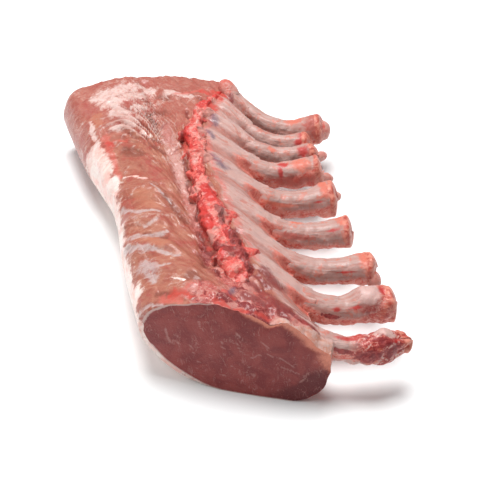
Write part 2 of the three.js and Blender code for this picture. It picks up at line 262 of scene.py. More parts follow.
def near_line(x, y, ax, ay, bx, by, size):
    """1 on the line from a to b, falling off like a bell over size."""
    dx, dy = bx - ax, by - ay
    f = np.clip(((x - ax) * dx + (y - ay) * dy) / (dx * dx + dy * dy), 0, 1)
    return np.exp(-((x - ax - f * dx) ** 2 + (y - ay - f * dy) ** 2) / size**2)


def section(u, t):
    """x and z of the meat's outline at station t; u counts the rails, round and round."""
    i = np.floor(u).astype(int)

    def rail(k, axis):
        return along(RAILS, t, (i + k) % RAILS.shape[1], axis)

    return [cubic(*(rail(k, axis) for k in (-1, 0, 1, 2)), u - i) for axis in (0, 1)]


def cut_y(x, z, t):
    """y at station t, between the two slanting and slightly bowed knife cuts."""
    low = 1 - z / MEAT_HEIGHT
    ends = [c["y"] + c["slant"] * x + c["bow"] * x * x + c["foot"] * low for c in (CAUDAL_CUT, BLADE_CUT)]
    return mix(*ends, t)


MUSCLE_LEFT, MUSCLE_RIGHT = -82, -32


def fibre(x, y):
    """Across and along the fibres of the back muscle: they start level at its left edge and turn more
    and more towards the caudal end, until they run beside the backbone."""
    f = np.clip((x - MUSCLE_LEFT) / (MUSCLE_RIGHT - MUSCLE_LEFT), 0, 1)
    level = 0.45 * (1 - ease(60, 130, y))
    across = y + level * (x - MUSCLE_LEFT) + 35 * f**5 + 3.5 * np.maximum(x - MUSCLE_RIGHT, 0)
    return across + 2.5 * uneven(x / 24, y / 24), 0.6 * x - 0.8 * y


def crest_lines(x, y):
    """Thin crests along the fibres: 1 where a warped noise passes through zero, less on both sides."""
    across, away = fibre(x, y)
    warp = 1.1 * layered(x / 16, y / 16, 9)
    wave = layered(across / 12 + warp, away / 26 - warp, 14)
    return np.exp(-((wave / 0.11) ** 2)) * ease(-0.5, 0.3, uneven(x / 18, y / 18, 6))


def strands(x, y):
    """Long raised threads of the membrane beside the ribs: 1 where a noise drawn out along them is zero."""
    wave = layered(6.6 * rib_rank(x, y) + 0.5 * uneven(x / 9, y / 9), x / 38, 21)
    return np.exp(-((wave / 0.13) ** 2))


FOLDS = {"length": 1.15, "wander": 3.6, "middle": (-36, 116), "reach": (20, 34)}


def ripples(x, y):
    """Stacked folds at the blade end of the back muscle: a wave across the fibres, wandering with a noise
    and falling off like a bell from the middle of the folds."""
    across, away = fibre(x, y)
    wave = np.sin(across / FOLDS["length"] + FOLDS["wander"] * layered(across / 12, away / 12, 2))
    return wave * bell(x, y, FOLDS["middle"], FOLDS["reach"])


# Marks on the upper side, each from x, y to x, y with its half width: white fat, silver skin, red blood,
# deep red marks that are partly dark blood and partly painted shade in crevices, cracks painted dark as
# painted shade, brown marks that are partly dried meat and partly painted shade in the groove beside the
# backbone, orange lean, the flush along the fat's edge and blue veins.
MARKS = {
    "white": [
        (-60, 157, -38, 163, 7), (-57, 147, -34, 151, 5), (-52, 136, -46, 118, 5), (-40, 135, -33, 133, 2.5),
        (-60, 117, -44, 112, 2.5), (-44, 105, -36, 100, 1.4), (-71, 135, -72, 118, 1.6),
        (-74, 108, -71, 80, 5.5), (-71, 80, -73, 52, 5.5), (-73, 52, -76, 28, 5), (-76, 28, -79, 0, 4.5),
        (-79, 0, -81, -50, 4.5), (-63, 62, -50, 50, 1.6), (-56, -52, -50, -58, 0.7),
        (-33, -14, -29, -20, 2.5), (-22, -80, -17, -94, 1.7), (-48, -77, -40, -83, 1.4),
        (-30, 165, -24, 160, 4), (-12, 150, 2, 140, 4), (-24, 20, -23, 27, 1.3),
    ],
    "silver": [
        (-71, 33, -60, 18, 1.9), (-60, 18, -50, 12, 1.4), (-62, 3, -53, 4, 1.3), (-70, 1, -62, -6, 2.6),
        (-62, -6, -50, -9, 2.6), (-75, -4, -66, -18, 2.9), (-66, -18, -48, -34, 1.8),
        (-69, -28, -66, -46, 5.5), (-62, -38, -55, -42, 1.8), (-79, -60, -66, -70, 1.8),
        (-48, 40, -40, 20, 1.2),
    ],
    "red": [
        (-24, 4, -24, -14, 3.6), (-14, 92, -16, 78, 3.2), (-17, 76, -22, 70, 1.6), (-16, 24, -14, 12, 5.5),
        (-14, 72, -15, 66, 2), (-13, -45, -9, -48, 2.4), (-34, -85, -33, -88, 2.6),
        (-58, -66, -50, -74, 3.6), (-66, 106, -63, 98, 2.2), (6, 125, 4, 118, 4), (18, 143, 26, 138, 4.5),
        (-22, -38, -23, -46, 1.4), (-23, 36, -22, 30, 1.2), (12, 146, 22, 132, 3), (-26, -24, -22, -32, 1.5),
        (8, -98, 14, -104, 1.8), (-38, -84, -30, -90, 2.2), (-26, -92, -22, -94, 2.2),
        (-16, -96, -10, -99, 2.2), (10, 128, 14, 118, 3.5), (-30, -74, -26, -80, 2),
    ],
    # Partly dark blood, partly painted shade in crevices.
    "deep": [
        (-19, -80, -7, -90, 4.2), (-4, -62, -2, -70, 3.2), (-8, -80, 2, -100, 3.5), (10, -98, 18, -108, 2.5),
        (-8, -18, -12, -34, 4), (-12, -40, -8, -56, 4.5), (2, -92, 14, -104, 1.6), (28, 148, 31, 136, 3),
        (4, -86, 20, -102, 1.2), (-4, -84, 4, -92, 4.5), (-24, -30, -16, -44, 4.5), (0, -58, 6, -70, 5),
        (-16, -82, -6, -92, 4.5), (-12, -66, -4, -78, 4), (-14, -2, -16, -14, 3),
    ],
    # Cracks, sunk and painted dark: painted shade.
    "crack": [
        (-6, 122, -7, 112, 1.6), (8, 138, 11, 130, 1.5), (-17, 92, -18, 80, 1.8), (-20, 70, -21, 52, 1.8),
        (-24, 44, -25, 24, 1.5), (-28, -10, -28, -20, 1.5), (-28, -24, -26, -42, 1.8),
        (-28, -50, -28, -58, 1.4), (-20, -33, -17, -40, 2.6), (-23, 20, -27, 4, 1.2),
    ],
    # Partly dried meat, partly painted shade in the groove beside the backbone.
    "brown_and_shade": [
        (-28, 62, -28, 36, 4), (-27, 130, -22, 126, 4), (-32, 147, -27, 144, 3), (-20, 150, -14, 144, 3.2),
        (-38, 128, -28, 118, 2.2), (-42, 112, -30, 104, 2.2), (-40, 98, -28, 92, 2.0),
        (-36, -32, -32, -46, 4), (-42, 26, -35, 0, 3.5), (-56, 88, -48, 80, 4.5), (-66, -60, -60, -66, 2.6),
        (-46, -56, -40, -66, 4.5), (-30, 112, -26, 92, 2.5), (-38, 88, -30, 80, 2.5),
        (-64, -2, -52, -14, 1.6),
    ],
    "orange": [
        (-66, 140, -68, 127, 4.5), (-58, 34, -52, 20, 6), (-62, -8, -56, -20, 6), (-26, -92, -8, -101, 2.5),
    ],
    "flush": [
        (-66, 113, -66, 92, 3), (-66, 92, -65, 64, 2), (-62, 104, -54, 100, 2), (-8, 146, 14, 148, 2),
        (-64, -66, -56, -74, 3),
    ],
    "blue": [(-3, 60, 2, 50, 4), (9, 113, 11, 104, 4), (1, 92, 3, 84, 3), (-27, -76, -24, -72, 3)],
}


def marked(x, y):
    """How strong each kind of mark is at x, y: 1 along its lines, whose edges wander by noise."""
    x = x + 3.4 * layered(x / 9, y / 9, 20.5)
    y = y + 3.4 * layered(x / 9, y / 9, 31.5)
    return {kind: np.max([near_line(x, y, *line) for line in lines], 0) for kind, lines in MARKS.items()}


# y and x of the line beside the backbone along which the membrane begins.
MEMBRANE_EDGE = np.array([
    (-110, 22), (-85, 4), (-60, -2), (-25, -6), (20, -7), (60, -6), (95, 0), (120, 12), (140, 24), (160, 36),
]).T


def regions(x, y, z, u):
    """How much each place of the skin is fat, membrane, torn soft tissue, membrane stained with blood or
    the hem of fat along the caudal cut, and how strong its marks are."""
    masks = {kind: mask * window(4.2, 5.2, 12.4, 12.9, u) for kind, mask in marked(x, y).items()}
    chine_side = np.interp(y, *MEMBRANE_EDGE)
    membrane = ease(-2, 2, x - chine_side + 1.5 * uneven(y / 6, 3)) * (u > 8) * (1 - ease(12.5, 13.2, u))
    near_edge = y - (CAUDAL_CUT["y"] + CAUDAL_CUT["slant"] * x + CAUDAL_CUT["bow"] * x * x)
    torn = (1 - ease(12, 26, near_edge + 4 * uneven(x / 9, y / 9))) * ease(-58, -44, x)
    torn = np.maximum(torn, near_line(x, y, -22, -50, -12, -92, 14))
    torn = np.maximum(torn, 0.8 * near_line(x, y, -24, 110, -30, -40, 6)) * (u > 6.5) * (1 - membrane)
    flank = (1 - ease(36, 48, z)) * (1 - ease(92, 128, y + 16 * layered(y / 14, z / 9, 4))) * (u < 7)
    far = bell(x, y, (-40, 150), (26, 34)) * (u > 4.5)
    pale = np.clip(masks["white"] * (0.95 - 0.35 * far) + 1.15 * flank + 0.43 * far, 0, 1.3)
    blood = membrane * (1 - ease(0, 9, x - chine_side)) * ease(-70, -40, y)
    hem = 1 - ease(3, 8, near_edge + 3 * uneven(x / 5, y / 5, 2))
    hem = hem * ease(-14, 2, x) * (u > 8) * (1 - ease(12.3, 12.7, u))
    white = pale * (1 - membrane)
    return {**masks, "white": white, "hem": hem, "membrane": membrane, "torn": torn, "blood": blood}


def soft_lumps(x, y):
    """Large lumps of torn tissue, their numbers, and small lumps, on places moved about by noise."""
    x = x + 2.5 * layered(x / 8, y / 8, 11)
    y = y + 2.5 * layered(x / 8, y / 8, 13)
    return *lumps(x / 11, y / 11), lumps(x / 4.5, y / 4.5, 5)[0]


def relief(x, y, z, masks, u):
    """Height of the fine unevenness: fibres and crests on the muscle, lumps on torn tissue, streaks on the
    membrane, with cracks sunk and the fat and the silver skin standing a little proud."""
    across, away = fibre(x, y)
    above = window(4.5, 6, 12, 12.6, u)
    muscle = 1.7 * layered(across / 10, away / 22) + 0.6 * layered(across / 3.5, away / 9, 4)
    muscle = muscle + 0.8 * crest_lines(x, y) + 2.3 * ripples(x, y)
    large, _, small = soft_lumps(x, y)
    soft = 2.6 * large + 1.2 * small - 2 + 1.2 * layered(x / 16, y / 16, 2)
    soft = soft + 0.9 * layered(x / 3.4, y / 3.4, 7)
    film = 1.1 * layered(3.6 * rib_rank(x, y), x / 40, 6) + 0.45 * layered(x / 5, y / 5, 8)
    film = film + 0.5 * strands(x, y)
    height = mix(mix(muscle, soft, masks["torn"]), film, masks["membrane"])
    height = height - 0.5 * masks["silver"] + 0.6 * masks["white"]
    height = height - 0.9 * masks["brown_and_shade"] - 2.4 * masks["crack"]
    side = 0.4 * layered(x / 8, y / 12) + 1.4 * layered(y / 7, z / 7, 3) * ease(12.6, 13, u)
    return above * height + (1 - above) * side


def skin(u, t, grow=0.0):
    """Point of the meat's skin for rail u and station t: the outline, moved outwards by swells and relief,
    with its edge cut back between the ribs and the membrane laid over them."""
    x, z = section(u, t)
    z = np.maximum(z, 0)
    turn = np.subtract(section(u + 0.05, t), section(u - 0.05, t))
    turn /= np.hypot(*turn)
    y = cut_y(x, z, t)
    x = x + window(11, 12, 13, 14, u) * (3 - 7 * between_ribs(x, y))
    z = mix(z, plate_height(x, y), window(9.7, 10.4, 12.05, 12.6, u))
    swell = sum(height * near_line(x, y, *line) for *line, height in SWELLS)
    swell = swell * ease(4, 5, u) * (1 - ease(10, 11, u))
    move = grow + swell + relief(x, y, z, regions(x, y, z, u), u)
    floor = ease(0.0, 6.0, z)
    return np.stack([x - turn[1] * move * floor, y, np.maximum(z + turn[0] * move * floor, 0)], -1)


scene = bpy.context.scene


def closed_mesh(name, rings, look, attributes):
    """Rings of points joined into one closed skin, with a pole in the middle of the first and last ring."""
    count, n = rings.shape[:2]
    poles = rings[[0, -1]].mean(1)
    points = np.concatenate([rings.reshape(-1, 3), poles]) - MIDDLE
    j, i = np.meshgrid(np.arange(count - 1), np.arange(n), indexing="ij")
    a, b = j * n + i, j * n + (i + 1) % n
    quads = np.stack([a, b, b + n, a + n], -1).reshape(-1, 4)
    edge = np.arange(n)
    after = (edge + 1) % n
    last = (count - 1) * n
    first_fan = np.stack([after, edge, np.full(n, count * n)], -1)
    last_fan = np.stack([last + edge, last + after, np.full(n, count * n + 1)], -1)
    mesh = bpy.data.meshes.new(name)
    mesh.from_pydata(points * MM, [], quads.tolist() + first_fan.tolist() + last_fan.tolist())
    mesh.shade_smooth()
    for key, values in attributes.items():
        values = np.broadcast_to(values, (count, n, *np.shape(values)[2:]))
        flat = np.concatenate([values.reshape(count * n, -1), values[[0, -1]].mean(1).reshape(2, -1)])
        kind, field = ("FLOAT", "value") if flat.shape[1] == 1 else ("FLOAT_VECTOR", "vector")
        mesh.attributes.new(key, kind, "POINT").data.foreach_set(field, flat.ravel())
    mesh.materials.append(look)
    mesh.validate()
    piece = bpy.data.objects.new(name, mesh)
    scene.collection.objects.link(piece)
    return piece


LIGHT_GAIN = 1.4


def colour(red, green, blue, gain=LIGHT_GAIN):
    """The linear values that a shader takes for a colour, 0 to 255, as it shows on screen in a light that
    brightens it by the gain."""
    shown = np.array([red, green, blue]) / 255
    linear = np.where(shown <= 0.04045, shown / 12.92, ((shown + 0.055) / 1.055) ** 2.4) / gain
    return (*linear.tolist(), 1.0)


class Wire:
    """A shader socket that adds a Math node wherever it stands in an expression."""

    def __init__(self, shader, socket):
        self.shader, self.socket = shader, socket

    def math(self, operation, *values):
        return self.shader.node("Math", {"operation": operation}, dict(enumerate(values)))

    def __add__(self, other):
        return self.math("ADD", self, other)

    def __sub__(self, other):
        return self.math("SUBTRACT", self, other)

    def __rsub__(self, other):
        return self.math("SUBTRACT", other, self)

    def __mul__(self, other):
        return self.math("MULTIPLY", self, other)

    __radd__, __rmul__ = __add__, __mul__

    def ease(self, lo, hi):
        """0 where the value is under lo, 1 over hi, and a smooth S between."""
        sockets = {"Value": self, "From Min": lo, "From Max": hi}
        return self.shader.node("MapRange", {"interpolation_type": "SMOOTHSTEP"}, sockets)


class Shader:
    """The nodes of one material."""

    def __init__(self, name):
        self.material = bpy.data.materials.new(name)
        self.material.use_nodes = True
        self.tree = self.material.node_tree
        self.tree.nodes.clear()

    def node(self, kind, settings=None, sockets=None, out=0):
        """Adds a shader node of that kind, with its settings and the values or links of its sockets."""
        made = self.tree.nodes.new("ShaderNode" + kind)
        for key, value in (settings or {}).items():
            setattr(made, key, value)
        for key, value in (sockets or {}).items():
            if isinstance(value, Wire):
                self.tree.links.new(value.socket, made.inputs[key])
            else:
                made.inputs[key].default_value = value
        return Wire(self, made.outputs[out]) if made.outputs else made

    def mask(self, name):
        return self.node("Attribute", {"attribute_name": name}, out=2)

    def vector(self, name):
        return self.node("Attribute", {"attribute_name": name}, out=1)

    def place(self):
        """Object coordinates in millimetres, so that patterns are sized in the part's own units."""
        where = self.node("TexCoord", out=3)
        return self.node("VectorMath", {"operation": "SCALE"}, {0: where, "Scale": 1000.0})

    def noise(self, where, size, detail=3.0, rough=0.55, twist=0.0):
        """Noise as coarse as a size in millimetres, one for all directions or one for each."""
        scale = tuple((1 / np.broadcast_to(size, 3)).tolist())
        where = self.node("VectorMath", {"operation": "MULTIPLY"}, {0: where, 1: scale})
        sockets = {"Vector": where, "Scale": 1.0, "Detail": detail, "Roughness": rough, "Distortion": twist}
        return self.node("TexNoise", None, sockets)

    def blend(self, mask, below, above):
        """Below where the mask is 0, above where it is 1, each a socket or what colour() takes."""
        below, above = (c if isinstance(c, Wire) else colour(*c) for c in (below, above))
        return self.node("Mix", {"data_type": "RGBA"}, {0: mask, 6: below, 7: above}, out=2)

    def coats(self, base, *layers):
        """A base with layers over it one after another, each a mask and what shows where it is 1."""
        for mask, above in layers:
            base = self.blend(mask, base, above)
        return base

    def finish(self, base, rough, height, depth_mm, coat):
        """The moist surface: colour, roughness and bump, with light scattered a little under it."""
        bump = {"Height": height, "Distance": depth_mm * MM, "Strength": 1.0}
        normal = self.node("Bump", None, bump)
        sockets = {
            "Base Color": base, "Roughness": rough, "Normal": normal, "Specular IOR Level": 0.3,
            "Coat Weight": coat, "Coat Roughness": 0.2, "Subsurface Weight": 0.08,
            "Subsurface Radius": (1.0, 0.35, 0.2), "Subsurface Scale": 0.004,
        }
        surface = self.node("BsdfPrincipled", None, sockets)
        self.node("OutputMaterial", None, {"Surface": surface})
        return self.material


def flesh(name):
    """Skin of lean, fat, membrane and cut faces, each where its mask says, with finer edges from noise."""
    s = Shader(name)
    where, flow, ribs = s.place(), s.vector("flow"), s.vector("rib_flow")
    cloud = s.noise(where, 13, 5, 0.62, 0.6)
    weave = s.noise(flow, (5.2, 10, 7), 6, 0.7, 1.3)
    lump = s.noise(where, 4.2, 5, 0.66, 0.8)
    grain = s.noise(where, 1.5, 3, 0.6)
    fine = s.noise(where, 2.6, 4, 0.7, 1.2)
    clouds, threads, bumps, grains, specks = (noise - 0.5 for noise in (cloud, weave, lump, grain, fine))

    def mark(kind, wander=1.0, lo=0.2, hi=0.95):
        """1 where a mark is strong, with an edge that wanders with the noises."""
        return (s.mask(kind) + bumps * wander + threads * wander).ease(lo, hi)

    lean = s.coats(
        (182, 94, 77),
        (weave.ease(0.32, 0.64), (202, 128, 106)),
        (cloud.ease(0.5, 0.64) * 0.6, (208, 140, 114)),
        (cloud.ease(0.46, 0.36) * 0.6, (188, 78, 70)),
        (s.mask("blade") * 0.5, s.blend(lump.ease(0.4, 0.6), (194, 98, 90), (212, 138, 127))),
        (mark("orange") * 0.5, (218, 140, 108)),
        # Brown: partly dried meat, partly painted shade in the groove beside the backbone.
        (mark("brown_and_shade") * 0.75, (146, 76, 60)),
    )
    mottled = s.coats(
        (220, 158, 146),
        (lump.ease(0.38, 0.56), (244, 210, 202)),
        (fine.ease(0.58, 0.66) * 0.4, (226, 136, 124)),
    )
    white = s.coats(
        (246, 194, 182, 1.1),
        (cloud.ease(0.36, 0.6), (255, 234, 226, 1.15)),
        (lump.ease(0.52, 0.68) * 0.3, (240, 158, 144)),
        (s.mask("blade") * 0.8, mottled),
    )
    fatty = (s.mask("white") + threads * 1.4 + clouds * 1.8 + bumps * 0.8).ease(0.25, 0.8)

    kind = s.mask("lump_kind") + clouds * 0.8 + specks * 1.1
    torn = s.coats(
        (152, 50, 52),
        (kind.ease(0.25, 0.45), (210, 98, 90)),
        (kind.ease(0.5, 0.62), (222, 146, 136)),
        (kind.ease(0.86, 0.9) * 0.7, (226, 92, 78)),
        (lump.ease(0.5, 0.62) * 0.5, (228, 152, 140)),
        (fine.ease(0.56, 0.64) * 0.6, (240, 180, 170)),
        (fine.ease(0.44, 0.34) * 0.6, (142, 44, 46)),
        (cloud.ease(0.57, 0.66) * 0.4, (172, 120, 128)),
        (s.mask("far") * 0.75, s.blend(kind.ease(0.3, 0.6), (224, 150, 138), (232, 184, 174))),
        # Painted shade in the creases between the lumps.
        ((s.mask("crease_shade") + grains).ease(0.45, 1.1) * 0.6, (140, 50, 46)),
    )

    sheet = s.noise(ribs, (5.5, 42, 8), 5, 0.6, 0.4)
    blush = s.noise(ribs, (6, 16, 6), 5, 0.65, 0.8)
    lines = s.noise(ribs, (1.4, 9, 6), 3, 0.6, 0.6)
    dip = (s.mask("valley") * 0.8 + (sheet - 0.5) * 2.2 + 0.1).ease(0.1, 0.9)
    wall = s.coats(
        (214, 92, 78, 1.2),
        (lump.ease(0.3, 0.6), (240, 144, 128, 1.2)),
        (fine.ease(0.55, 0.63) * 0.6, (244, 184, 172, 1.2)),
    )
    film = s.coats(
        (234, 188, 178),
        (dip, (214, 148, 136)),
        ((s.mask("strand") + grains * 0.8).ease(0.4, 1.0) * 0.35, (232, 206, 200)),
        (blush.ease(0.52, 0.64) * 0.65, (226, 128, 110)),
        (blush.ease(0.46, 0.36) * 0.5, (212, 172, 166)),
        (lines.ease(0.66, 0.74) * 0.6, (208, 96, 80)),
        ((s.mask("wall") + bumps * 1.4).ease(0.3, 0.9), wall),
    )

    wavy = s.noise(where, (3.4, 30, 11), 3, 0.6, 0.7)
    line = 1 - wavy.math("ABSOLUTE", wavy - 0.5).ease(0.004, 0.026)
    bits = s.noise(where, (6.5, 30, 6.5), 2).ease(0.5, 0.6)
    dots = s.noise(where, (0.9, 6, 1.5), 1).ease(0.66, 0.76)
    vein = (s.mask("vein") + grains * 0.9 + bumps * 0.8).ease(0.4, 1.0)
    tan = s.mask("tan") + bumps * 0.5 + clouds * 0.4 + specks * 0.7
    face = s.coats(
        (136, 46, 46, 1.26),
        (cloud.ease(0.35, 0.65), (162, 68, 63, 1.26)),
        (s.mask("dark") * 0.9, (108, 24, 28)),
        (dots * 0.35, (206, 140, 130)),
        (line * bits * 0.4, (214, 156, 146)),
        (vein * 0.45, (218, 160, 150)),
        (tan.ease(0.08, 0.8) * 0.6, (196, 92, 78)),
        (tan.ease(0.35, 1.1) * 0.9, (240, 152, 126, 1.1)),
        ((s.mask("rim") + grains * 0.5).ease(0.3, 0.7), (228, 186, 178)),
    )

    hem = s.blend(lump.ease(0.4, 0.6), (238, 168, 146), (246, 206, 194))
    cut = s.mask("cut").ease(0.3, 0.7)
    base = s.coats(
        lean,
        (fatty, white),
        (mark("silver", 1.8, 0.3, 1.1) * 0.72, (226, 204, 202)),
        # Pale sinew streaks along the fibres, and painted highlight on the crests of the folds.
        ((s.mask("crest") + grains * 1.2).ease(0.45, 0.95) * 0.65, (234, 196, 186)),
        # Painted shade in the hollows between the folds.
        ((s.mask("fold_shade") + bumps * 1.4).ease(0.15, 0.75) * 0.85, (150, 72, 60)),
        (mark("torn", 1.2, 0.3, 0.8), torn),
        (s.mask("membrane"), film),
        ((s.mask("blood") + (blush - 0.5) * 1.8 + bumps).ease(0.3, 1.0) * 0.6, (232, 108, 96)),
        (mark("flush", 1.6) * 0.6, (236, 112, 100)),
        (mark("red", 1.4) * 0.8, (226, 76, 64)),
        # Deep red marks: partly dark blood, partly painted shade in crevices.
        (mark("deep", 1.2) * 0.8, (148, 46, 46)),
        (mark("blue", 1.2, 0.15, 1.2) * 0.75, (112, 88, 112)),
        # Painted shade in the cracks.
        (mark("crack", 1.0, 0.35, 1.0) * 0.75, (126, 34, 28)),
        ((s.mask("hem") + bumps + specks * 0.6).ease(0.2, 0.8) * 0.85, hem),
        (cut, face),
    )
    height = weave * 0.35 + grain * 0.15 + lump * 0.3 + fine * 0.3
    return s.finish(base, s.noise(where, 6) * 0.35 + 0.3, height, 1.4, 0.4 - cut * 0.3)


# Streaks of fat and sinew on the caudal cut face, each from x, z to x, z.
VEINS = [
    (-59, 41, -60, 30), (-54, 32, -51, 25), (-43, 29, -40, 21), (-28, 42, -25, 33), (-25, 33, -21, 31),
    (-21, 31, -15, 34), (-22, 24, -19, 16), (-31, 24, -31, 19), (-27, 49, -26, 46), (-47, 52, -46, 46),
    (-66, 40, -64, 30), (-50, 22, -51, 14), (-36, 14, -33, 10), (-12, 36, -8, 35), (4, 14, 9, 22),
    (9, 22, 15, 27), (15, 27, 23, 30), (-6, 34, 3, 28), (-4, 26, 6, 24), (-36, 40, -35, 34),
    (-15, 44, -11, 41),
]
VEIN_HALF_WIDTH = 0.95
# x and z of the top of the small dark muscle low on the right of the caudal cut.
DARK_EDGE = np.array([(-10, 6), (4, 14), (9, 22), (15, 27), (23, 30)]).T


def skin_attributes(points, u, scale):
    """The masks and the two flow directions of the flesh material for rings of skin points, where scale
    is 1 on the skin and falls towards the middle of a cut face."""
    x, y, z = np.moveaxis(points, -1, 0)
    across, away = fibre(x, y)
    large, kind, small = soft_lumps(x, y)
    folds = ripples(x, y)
    inner = 1 - scale
    near = y < 0
    low = u < 4
    rim = np.maximum(window(4.6, 5.2, 7.2, 8, u), low) * (1 - ease(0.004, np.where(low, 0.03, 0.05), inner))
    bent_x, bent_z = x + uneven(z / 4, 3), z + uneven(x / 4, 7)
    veins = [near_line(bent_x, bent_z, *line, VEIN_HALF_WIDTH) for line in VEINS]
    return {
        **regions(x, y, z, u),
        # Sinew streaks along the fibres, and painted highlight on the crests of the folds.
        "crest": 0.75 * crest_lines(x, y) + 1.3 * np.maximum(folds, 0),
        "strand": strands(x, y),
        "valley": between_ribs(x, y),
        # Painted shade: the hollows between the folds at the blade end.
        "fold_shade": np.maximum(-folds, 0),
        "far": ease(-25, 15, y),
        "blade": ease(96, 122, y),
        "lump_kind": kind,
        # Painted shade in the creases between the lumps.
        "crease_shade": 1 - ease(0.3, 0.62, large) * (0.5 + 0.5 * ease(0.2, 0.6, small)),
        "wall": np.maximum(side_wall(x, y), ease(12.2, 12.6, u)),
        "cut": (inner > 0.002) * 1.0,
        "tan": window(8.0, 9.2, 12.4, 13.6, u) * (1 - ease(0.02, 0.34, inner)),
        "rim": rim,
        "dark": near * ease(-14, 0, x) * (1 - ease(-3, 3, z - np.interp(x, *DARK_EDGE))),
        "vein": near * np.max(veins, 0),
        "flow": np.stack([across, away, z], -1),
        "rib_flow": np.stack([33 * rib_rank(x, y), x, z], -1),
    }


# Rails from which and to which the fat goes round, its thickness, and how many rails it overlaps.
FAT_FROM, FAT_TO, FAT_THICK, FAT_OVERLAP = 0.5, 6.3, 2.0, 0.12


def under_fat(u, inset=0.0):
    """How deep the fat lies at rail u: nothing at its two edges, full between them."""
    f = np.clip((u - FAT_FROM - inset) / (FAT_TO - FAT_FROM - 2 * inset), 0, 1)
    return FAT_THICK * np.sin(np.pi * f) ** 0.5


# Points go round from rail to rail, closer on the upper side and the membrane than underneath.
around = np.concatenate([np.linspace(a, b, count, endpoint=False) for a, b, count in (
    (0, 3, 14), (3, 5, 18), (5, 9, 84), (9, 10, 24), (10, 12.7, 84), (12.7, 15, 24),
)])
stations = np.linspace(0, 1, 320)
U, T = np.meshgrid(around, stations)
bed = under_fat(U, FAT_OVERLAP)
body = skin(U, T, -bed - 0.3 * (bed > 0))
FACE_SCALES = np.concatenate([[0.997, 0.99], np.linspace(0.98, 0.04, 30)])


def cut_face(ring, t, sign):
    """Rings on a cut face: its rim shrunk about the middle, on the cut's own bowed plane plus a belly."""
    scale = FACE_SCALES[:, None]
    middle = ring.mean(0)
    x, z = (mix(middle[k], ring[None, :, k], scale) for k in (0, 2))
    y = cut_y(x, z, np.full_like(x, t)) + sign * CUT_BELLY * (1 - scale**2)
    return np.stack([x, y + 0.25 * layered(x / 10, z / 10), z], -1)


caudal, blade = cut_face(body[0], 0.0, -1), cut_face(body[-1], 1.0, 1)
meat_rings = np.concatenate([caudal[::-1], body, blade])
ring_scale = np.concatenate([FACE_SCALES[::-1], np.ones(len(stations)), FACE_SCALES])[:, None]
ring_u = np.broadcast_to(around, meat_rings.shape[:2])
meat = closed_mesh("meat", meat_rings, flesh("flesh"), skin_attributes(meat_rings, ring_u, ring_scale))
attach(meat, "root")
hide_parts("loin")


# -------- the back fat
# The layer of fat under the skin of the back, a few millimetres thick. The rack lies on it, and it runs
# up the left side to the shoulder, where it thins out over the muscle. It shows as a rim at both cuts.
U, T = np.meshgrid(np.linspace(FAT_FROM - 0.03, FAT_TO + 0.03, 116), stations)
inside = (U > FAT_FROM) & (U < FAT_TO)
outer = skin(U, T, np.where(inside, 0.1, -0.5))
inner = skin(U, T, -0.5 - under_fat(U) * 0.9)[:, ::-1]
fat_rings = np.concatenate([outer, inner], 1)
ring_u = np.concatenate([U, U[:, ::-1]], 1)
fat_attributes = skin_attributes(fat_rings, ring_u, np.ones((len(fat_rings), 1)))
back_fat = closed_mesh("back_fat", fat_rings, flesh("fat"), fat_attributes)
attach(back_fat, "root")
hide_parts("fat_cap")


# -------- the backbone
# What the saw left of the backbone: a craggy strip of red, spongy bone with a knob where each rib
# joins it, pale cartilage on its crest and pits between the knobs. Its cracks and the creases between its
# lumps are painted dark: painted shade.
CHINE = {
    "from": 0.09,
    "to": 0.985,
    "x": np.array([-13, -14, -15, -4, 27.0]),
    "crest": np.array([61.5, 66.3, 67.1, 64.3, 51]),
    "half": np.array([15.5, 12.5, 9.5, 9, 7.5]),
    "depth": 18,
    "waist": 0.5,
    "crag": 3.6,
}


def signed_power(v, power):
    """The size of v to a power, with v's own sign."""
    return np.sign(v) * np.abs(v) ** power


def rounds(lengthwise, count):
    """A grid of places along a piece and angles round it."""
    return np.meshgrid(lengthwise, np.linspace(0, 2 * np.pi, count, endpoint=False), indexing="ij")


